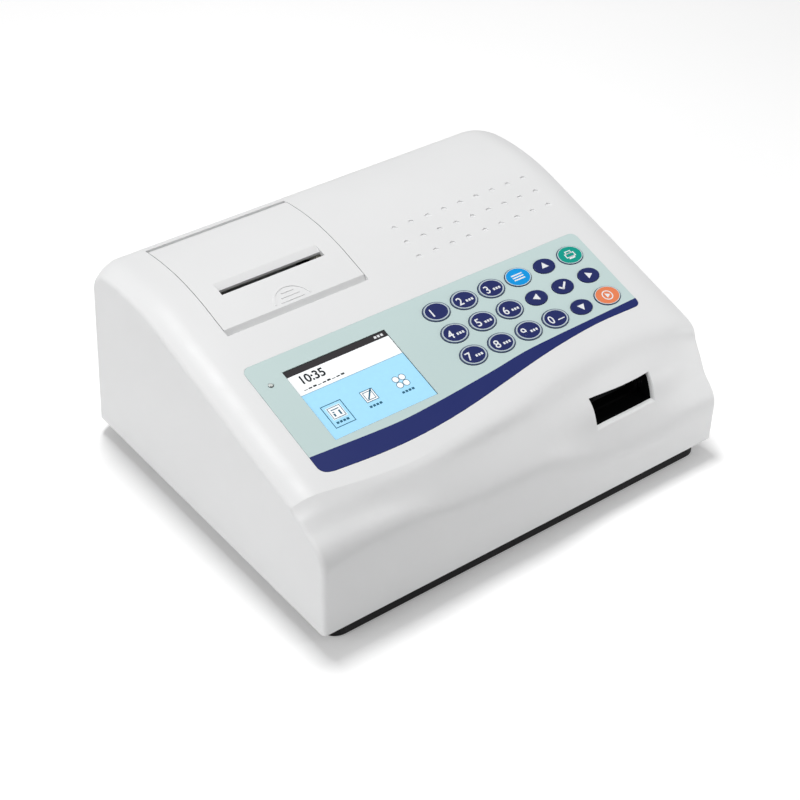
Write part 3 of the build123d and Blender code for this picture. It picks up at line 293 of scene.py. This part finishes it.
NAVY = (0.019, 0.028, 0.135)
KEY_OUTLINE = (0.06, 0.09, 0.17)
KEY_FACES = {
    "menu": (0.004, 0.33, 0.80),
    "print": (0.004, 0.345, 0.27),
    "start": (0.87, 0.245, 0.105),
}
# Where the pale ring of a key starts and ends, as shares of its half size, and its colour.
COLOURED_KEY_RING = (0.90, 0.955, (0.66, 0.78, 0.80))
NAVY_KEY_RING = (0.825, 0.925, (0.52, 0.60, 0.64))


def key_material(name, across, up_slope):
    """Printed key: a coloured face, a pale ring and a dark outline."""
    m = Nodes("key_" + name)
    centre = panel @ Vector((across * MM, up_slope * MM, 0))
    half = SMALL_KEY_HALF if name in SMALL_KEYS else KEY_HALF
    x = m.maths("DIVIDE", m.dot(ACROSS, centre), half[0])
    v = m.maths("DIVIDE", m.dot(UP_SLOPE, centre), half[1])
    squares = m.maths("ADD", m.maths("MULTIPLY", x, x), m.maths("MULTIPLY", v, v))
    away = m.maths("SQRT", squares)
    face = KEY_FACES.get(name, NAVY)
    tone = m.blotches(KEY_PATCHES, 2, face, shaded(face, 0.92))
    if name not in SMALL_KEYS:
        inner, outer, ring = COLOURED_KEY_RING if name in KEY_FACES else NAVY_KEY_RING
        tone = m.mix(m.maths("GREATER_THAN", away, inner), tone, ring)
        tone = m.mix(m.maths("GREATER_THAN", away, outer), tone, KEY_OUTLINE)
        edge = m.maths("ABSOLUTE", m.maths("SUBTRACT", away, (inner + outer) / 2))
        m.bump(m.maths("LESS_THAN", edge, (outer - inner) / 2), 0.6, 0.12)
    m.set("Base Color", tone)
    m.rough(0.36)
    m.set("Specular IOR Level", 0.2)
    return m.material


def pane_material():
    """Clear pane over the dark display."""
    m = Nodes("clear_pane")
    m.set("Base Color", m.blotches(PANE_PATCHES, 2, (0.02, 0.02, 0.022), (0.025, 0.025, 0.03)))
    m.set("Roughness", 0.08)
    return m.material


def lamp_material():
    """Milky lens of the status lamp."""
    m = Nodes("lamp_lens")
    m.set("Base Color", m.blotches(LENS_PATCHES, 2, (0.62, 0.66, 0.64), (0.70, 0.74, 0.72)))
    m.set("Roughness", 0.15)
    m.set("Coat Weight", 0.6)
    return m.material


def floor_material():
    """White paper sweep: pale to the camera, with the object's soft shadow on it."""
    m = Nodes("floor_paper")
    m.set("Base Color", m.blotches(FLOOR_PATCHES, 2, (0.90, 0.90, 0.90), (0.91, 0.91, 0.91)))
    m.set("Roughness", 0.9)
    m.set("Specular IOR Level", 0.0)
    path = m.add("ShaderNodeLightPath")
    seen = m.maths("MAXIMUM", path.outputs["Is Camera Ray"], path.outputs["Is Glossy Ray"])
    seen = m.maths("MAXIMUM", seen, path.outputs["Is Transmission Ray"])
    glow = m.add("ShaderNodeEmission")
    glow.inputs["Color"].default_value = (1, 1, 1, 1)
    m.link(m.maths("MULTIPLY", seen, 0.20), glow.inputs["Strength"])
    both = m.add("ShaderNodeAddShader")
    m.link(m.shader.outputs[0], both.inputs[0])
    m.link(glow.outputs[0], both.inputs[1])
    m.link(both.outputs[0], m.tree.nodes["Material Output"].inputs["Surface"])
    return m.material


def paint(material, *names):
    for name in names:
        mesh = nodes[name].data
        mesh.materials.clear()
        mesh.materials.append(material)
        for face in mesh.polygons:
            face.material_index = 0


# Plastics: colour, roughness, grain and its depth in millimetres, change of tone.
OFF_WHITE = (0.80, 0.803, 0.806)
white = plastic("housing_plastic", OFF_WHITE, 0.42, 0.5, 0.012, 0.012, shine=0.3)
cover_white = plastic("cover_plastic", OFF_WHITE, 0.42, 0.5, 0.012, 0.012, shine=0.3)
black = plastic("pan_plastic", (0.010, 0.010, 0.011), 0.55, 0.8, 0.04, 0.2, shine=0.15)
dark = plastic("dark_plastic", (0.016, 0.016, 0.018), 0.5, 0.6, 0.03, 0.2)
# Black plastic of the port's liner and guide, its colour pushed down to near zero: partly its
# own black, partly painted shade deep in the port.
port_black_and_painted_shade = plastic("port_plastic_and_painted_shade", (0.003, 0.003, 0.0035), 0.8, 0.6, 0.03, 0.2, shine=0.03)
rubber = plastic("rubber", (0.02, 0.02, 0.02), 0.85, 0.9, 0.06, 0.25)
nylon = plastic("nylon", (0.80, 0.78, 0.70), 0.4, 0.4, 0.01, 0.04)
bin_grey = plastic("bin_plastic", (0.32, 0.33, 0.34), 0.5, 0.7, 0.03, 0.05)
tray_dark = plastic("tray_plastic", (0.012, 0.012, 0.014), 0.6, 0.5, 0.02, 0.1, shine=0.1)
coated = plastic("black_coated_metal", (0.008, 0.008, 0.009), 0.6, 0.4, 0.01, 0.15, shine=0.08)
rocker_black = plastic("rocker_plastic", (0.02, 0.02, 0.022), 0.3, 0.5, 0.01, 0.1, coat=0.3)
steel = metal("steel", (0.58, 0.59, 0.60), 0.32, (1, 40, 40))
sheet_steel = metal("sheet_steel", (0.62, 0.63, 0.64), 0.4, (40, 1, 40))
ink_white = plain_print("ink_white", (0.86, 0.88, 0.90))

paint(white, "upper_housing")
paint(cover_white, "printer_cover")
paint(black, "base_pan")
paint(dark, "rear_panel", "switch_frame", "power_jack", "key_switches")
paint(dark, "optical_head", "main_board_parts")
paint(port_black_and_painted_shade, "port_liner", "tray_guide")
paint(rocker_black, "power_rocker")
paint(rubber, "feet", "platen_roller")
paint(nylon, "platen_gear", "feed_pinion", "tray_pinion")
paint(bin_grey, "paper_bin")
paint(tray_dark, "strip_tray")
paint(steel, "case_screws", "display_screws", "keypad_screws", "main_screws")
paint(steel, "hinge_pins", "usb_port", "serial_port")
paint(sheet_steel, "motor_bracket", "feed_motor", "tray_motor")
paint(coated, "printer_frame", "thermal_head")
paint(board_material(), "keypad_board", "optical_board", "main_board")
paint(paper_material("thermal_paper", (0.86, 0.86, 0.85)), "paper_roll")
paint(paper_material("core_card", (0.45, 0.36, 0.25)), "roll_core")
paint(label_material(), "keypad_overlay")
paint(plain_print("display_glass", (0.30, 0.55, 0.75)), "display_module")
paint(pane_material(), "screen_pane")
paint(lamp_material(), "status_led")
for key, key_x, key_v in key_centres():
    paint(key_material(key, key_x, key_v), "key_" + key)


# ---- Flat pieces on the panel ----
def finish_piece(mesh, name, material, body):
    piece = bpy.data.objects.new(name, mesh)
    bpy.context.scene.collection.objects.link(piece)
    mesh.materials.append(material)
    piece.matrix_world = panel
    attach(piece, body)


def flat(name, outlines, above, material, body="root"):
    """One thin piece made of flat outlines of (across, up the slope) points."""
    bm = bmesh.new()
    for outline in outlines:
        low, high = [
            [bm.verts.new((x * MM, v * MM, up * MM)) for x, v in outline]
            for up in (above, above + PRINT_THICK)
        ]
        bm.faces.new(high)
        bm.faces.new(low[::-1])
        for first in range(len(outline)):
            second = (first + 1) % len(outline)
            bm.faces.new((low[first], low[second], high[second], high[first]))
    mesh = bpy.data.meshes.new(name)
    bm.to_mesh(mesh)
    bm.free()
    finish_piece(mesh, name, material, body)


def around(centre, radius, turn):
    return centre[0] + radius * cos(turn), centre[1] + radius * sin(turn)


def circle(centre, radius, steps=48):
    return [around(centre, radius, 2 * pi * n / steps) for n in range(steps)]


def triangle(centre, reach, turn):
    return [around(centre, reach, turn + corner * 2 * pi / 3) for corner in range(3)]


def ring_parts(outside, inside):
    """Quads between two outlines with as many points each."""
    count = len(outside)
    return [
        [outside[n], outside[(n + 1) % count], inside[(n + 1) % count], inside[n]]
        for n in range(count)
    ]


def bar(x, v, width, height):
    """A rectangle from its lower left corner."""
    return [(x, v), (x + width, v), (x + width, v + height), (x, v + height)]


def box_ring(x, v, width, height, line):
    """The four sides of a rectangular frame."""
    return [
        bar(x, v, width, line),
        bar(x, v + height - line, width, line),
        bar(x, v + line, line, height - 2 * line),
        bar(x + width - line, v + line, line, height - 2 * line),
    ]


def stroke(first, second, width):
    """A straight line of some width."""
    run = (second[0] - first[0], second[1] - first[1])
    half = width / 2 / hypot(*run)
    side = (-run[1] * half, run[0] * half)
    return [
        (first[0] - side[0], first[1] - side[1]),
        (second[0] - side[0], second[1] - side[1]),
        (second[0] + side[0], second[1] + side[1]),
        (first[0] + side[0], first[1] + side[1]),
    ]


def digits(name, text, centre, height, above, material, body, bold, wide=1.0):
    """A line of digits as a thin mesh, centred, with its digits of that height."""
    curve = bpy.data.curves.new(name, "FONT")
    curve.body = text
    curve.extrude = 0.01
    curve.offset = bold
    source = bpy.data.objects.new(name + "_text", curve)
    mesh = bpy.data.meshes.new_from_object(source)
    bpy.data.objects.remove(source)
    low = [min(v.co[i] for v in mesh.vertices) for i in range(3)]
    high = [max(v.co[i] for v in mesh.vertices) for i in range(3)]
    middle = [(a + b) / 2 for a, b in zip(low, high)]
    scale = height / (high[1] - low[1])
    for vertex in mesh.vertices:
        x = (vertex.co.x - middle[0]) * scale * wide + centre[0]
        v = (vertex.co.y - middle[1]) * scale + centre[1]
        up = above if vertex.co.z < middle[2] else above + PRINT_THICK
        vertex.co = (x * MM, v * MM, up * MM)
    finish_piece(mesh, name, material, body)


# ---- Key symbols ----
DIGIT_HEIGHT = 5.6
DIGIT_LEFT = 3.3
ARROW_REACH = 2.9
TICK_WIDTH = 1.3
TURNS = {"right": 0, "up": pi / 2, "left": pi, "down": -pi / 2}


def small_marks(key, x, v):
    """Three short dashes at the right of a digit, or one long one at the right of the zero."""
    foot = v - 2.1
    if key == "0":
        return [bar(x + 0.6, foot, 5, 0.7)]
    return [bar(x + 0.4 + 1.9 * n, foot, 1.3, 1.6) for n in range(3)]


def symbol(key, x, v):
    """Outlines of the symbol on a key without a digit."""
    if key in TURNS:
        return [triangle((x, v), ARROW_REACH, TURNS[key])]
    if key == "ok":
        short = stroke((x - 3.0, v + 0.2), (x - 0.7, v - 2.0), TICK_WIDTH)
        long = stroke((x - 1.2, v - 2.1), (x + 3.2, v + 2.3), TICK_WIDTH)
        return [short, long]
    if key == "menu":
        return [bar(x - 4, v + 1.8 * n - 0.45, 8, 0.9) for n in (-1, 0, 1)]
    if key == "print":
        printer = box_ring(x - 3.6, v - 1.8, 7.2, 3.4, 0.7)
        sheet_in = box_ring(x - 2.2, v + 0.9, 4.4, 2.4, 0.6)
        sheet_out = bar(x - 2.2, v - 3.0, 4.4, 1.9)
        return printer + sheet_in + [sheet_out]
    return ring_parts(circle((x, v), 3.6), circle((x, v), 2.9)) + [triangle((x, v), 2.1, 0)]


for key, x, v in key_centres():
    name = "symbol_" + key
    body = "key_" + key
    if key.isdigit():
        digits(name, key, (x - DIGIT_LEFT, v), DIGIT_HEIGHT, KEY_TOP, ink_white, body, 0.01)
        if key != "1":
            flat(name + "_marks", small_marks(key, x, v), KEY_TOP, ink_white, body)
    else:
        flat(name, symbol(key, x, v), KEY_TOP, ink_white, body)

# ---- Screen: places are from its upper left corner ----
left = SCREEN_LEFT
top = SCREEN_LOW + SCREEN_HIGH
bar_low = top - 4.6
zone_low = top - 18.7
glass = PANE_TOP + PRINT_GAP
picture = glass + PRINT_THICK
upper = picture + PRINT_THICK
screen_ink = plain_print("screen_ink", (0.02, 0.025, 0.03), roughness=0.2)
icon_ink = plain_print("icon_ink", (0.035, 0.14, 0.22), roughness=0.2)
screen_white = plain_print("screen_white", (0.85, 0.87, 0.88), 0.25, 0.2)
screen_blue = plain_print("screen_blue", (0.36, 0.68, 0.90), 0.22, 0.2)
screen_grey = plain_print("screen_grey", (0.045, 0.042, 0.045), roughness=0.2)
screen_rule = plain_print("screen_rule", (0.20, 0.38, 0.50), 0.1)


def screen_zone(name, low, high, material):
    flat(name, [bar(left, low, SCREEN_WIDE, high - low)], glass, material)


screen_zone("screen_bar", bar_low, top, screen_grey)
screen_zone("screen_top_zone", zone_low, bar_low, screen_white)
screen_zone("screen_low_zone", SCREEN_LOW, zone_low, screen_blue)
flat("screen_line", [bar(left, zone_low - 0.15, SCREEN_WIDE, 0.3)], picture, screen_rule)
# A thin dark line round the screen: painted shade where the overlay's opening steps down to
# the screen.
edge_shade = box_ring(left, SCREEN_LOW, SCREEN_WIDE, SCREEN_HIGH, 0.3)
flat("screen_edge_shade", edge_shade, picture, screen_ink)
clock = (left + 14.2, top - 9.3)
digits("clock_digits", "10:35", clock, 6.0, picture, screen_ink, "root", 0.022, 0.95)
dates = [bar(left + 4 + 3.1 * n, top - 16.3, 2.3, 0.4 + 0.35 * (n % 3)) for n in range(9)]
flat("date_marks", dates, picture, screen_ink)
states = [bar(left + 61 + 2.3 * n, top - 3.2, 1.5, 1.6) for n in range(3)]
flat("status_marks", states, picture, ink_white)

# First symbol: a form in a frame that shows it is selected.
frame_x = left + 4.9
frame_v = top - 45.8
flat("icon_frame", box_ring(frame_x, frame_v, 13.5, 16.0, 0.5), picture, icon_ink)
flat("icon_form_back", [bar(frame_x + 2.2, frame_v + 5.2, 9.1, 8.6)], picture, screen_white)
form = box_ring(frame_x + 2.6, frame_v + 5.6, 8.3, 7.8, 0.4)
form_x = frame_x + 4.2
form += [
    bar(form_x, frame_v + 11.2, 5.1, 0.6),
    bar(form_x, frame_v + 9.6, 1.4, 0.6),
    bar(form_x, frame_v + 7.0, 1.1, 2.0),
    bar(form_x + 3.8, frame_v + 7.0, 1.1, 3.2),
]
flat("icon_form", form, upper, icon_ink)

# Second symbol: a sheet with a pen across it.
sheet_x = left + 30.2
sheet_v = top - 39.3
sheet_size = (8.4, 8.2)
flat("icon_sheet_back", [bar(sheet_x, sheet_v, *sheet_size)], picture, screen_white)
sheet = box_ring(sheet_x, sheet_v, *sheet_size, 0.4)
sheet += box_ring(sheet_x + 1.2, sheet_v + 1.2, 6.0, 5.8, 0.4)
sheet.append(stroke((sheet_x + 2.4, sheet_v + 1.8), (sheet_x + 7.6, sheet_v + 8.0), 0.9))
flat("icon_sheet", sheet, upper, icon_ink)

# Third symbol: four round cells.
cell_radius = 2.2
cell_line = 0.35
cell_centres = [
    (left + 56.4 + cell_radius * side, top - 35.0 + cell_radius * rise)
    for rise in (1, -1)
    for side in (-1, 1)
]
for number, cell in enumerate(cell_centres):
    rim = circle(cell, cell_radius)
    flat("icon_cell_%d" % number, [rim], picture, screen_white)
    line = ring_parts(rim, circle(cell, cell_radius - cell_line))
    flat("icon_cell_ring_%d" % number, line, upper, icon_ink)

# A caption of four marks under each symbol.
captions = [
    (frame_x + 2.4, frame_v + 2.2),
    (left + 30.0, top - 43.0),
    (left + 52.2, top - 43.0),
]
for number, (x, v) in enumerate(captions):
    dashes = [bar(x + 2.2 * n, v, 1.6, 1.5) for n in range(4)]
    flat("caption_%d" % number, dashes, picture, icon_ink)

# ---- Status lamp: a crescent at its lower edge, the shadow in its bezel ----
steps = 20
turns = [pi + pi * n / steps for n in range(steps + 1)]
outer = [around(LAMP, 1.75, turn) for turn in turns]
inner = [around((LAMP[0] + 0.25, LAMP[1] + 0.45), 1.45, turn) for turn in turns]
crescent = [[outer[n], outer[n + 1], inner[n + 1], inner[n]] for n in range(steps)]
flat("lamp_shade", crescent, LAMP_TOP, plain_print("lamp_shadow", (0.10, 0.11, 0.11)))

# ---- Floor, light and camera, in metres ----
scene = bpy.context.scene
reach = 6.0
corners = [(-reach, -reach, 0), (reach, -reach, 0), (reach, reach, 0), (-reach, reach, 0)]
floor_mesh = bpy.data.meshes.new("floor")
floor_mesh.from_pydata(corners, [], [(0, 1, 2, 3)])
floor_mesh.materials.append(floor_material())
floor = bpy.data.objects.new("floor", floor_mesh)
scene.collection.objects.link(floor)

# The world is white to the camera and dimmer as a light, so that the shadows stay visible.
world = bpy.data.worlds.new("studio")
scene.world = world
world.use_nodes = True
tree = world.node_tree
background = tree.nodes["Background"]
path = tree.nodes.new("ShaderNodeLightPath")
level = tree.nodes.new("ShaderNodeMapRange")
level.inputs["To Min"].default_value = 0.26
level.inputs["To Max"].default_value = 1.0
tree.links.new(path.outputs["Is Camera Ray"], level.inputs["Value"])
tree.links.new(level.outputs["Result"], background.inputs["Strength"])
background.inputs["Color"].default_value = (1, 1, 1, 1)


def area_light(name, place, target, size, power):
    """A rectangular light that points from its place at its target, in watts."""
    lamp_data = bpy.data.lights.new(name, "AREA")
    lamp_data.shape = "RECTANGLE"
    lamp_data.size, lamp_data.size_y = size
    lamp_data.energy = power
    light = bpy.data.objects.new(name, lamp_data)
    light.location = place
    light.visible_camera = False
    light.rotation_euler = (Vector(target) - Vector(place)).to_track_quat("-Z", "Y").to_euler()
    scene.collection.objects.link(light)


area_light("top_light", (0.0, 0.30, 1.7), (0, 0, 0.05), (0.4, 0.4), 18)
area_light("left_light", (-1.6, -0.1, 0.7), (0, 0, 0.06), (1.2, 1.0), 9.5)
area_light("right_light", (0.45, -0.40, 0.12), (0.1, -0.1, 0.05), (0.2, 0.2), 0.7)

# The camera's place, direction and lens were fitted to the photo's straight edges.
AZIMUTH = radians(-38.308)
ELEVATION = radians(37.464)
ROLL = radians(1.462)
SPOT = (-0.5370, -0.6772, 0.6922)
camera_data = bpy.data.cameras.new("camera")
camera_data.sensor_width = 36
camera_data.lens = 80.84
camera = bpy.data.objects.new("camera", camera_data)
back = Vector((
    sin(AZIMUTH) * cos(ELEVATION),
    -cos(AZIMUTH) * cos(ELEVATION),
    sin(ELEVATION),
))
right = Vector((0, 0, 1)).cross(back).normalized()
up = back.cross(right)
turned_right = right * cos(ROLL) + up * sin(ROLL)
turned_up = up * cos(ROLL) - right * sin(ROLL)
columns = (turned_right, turned_up, back, Vector(SPOT))
camera.matrix_world = Matrix((
    [column.x for column in columns],
    [column.y for column in columns],
    [column.z for column in columns],
    [0, 0, 0, 1],
))
scene.collection.objects.link(camera)
scene.camera = camera
scene.view_settings.view_transform = "Standard"

bpy.context.view_layer.update()
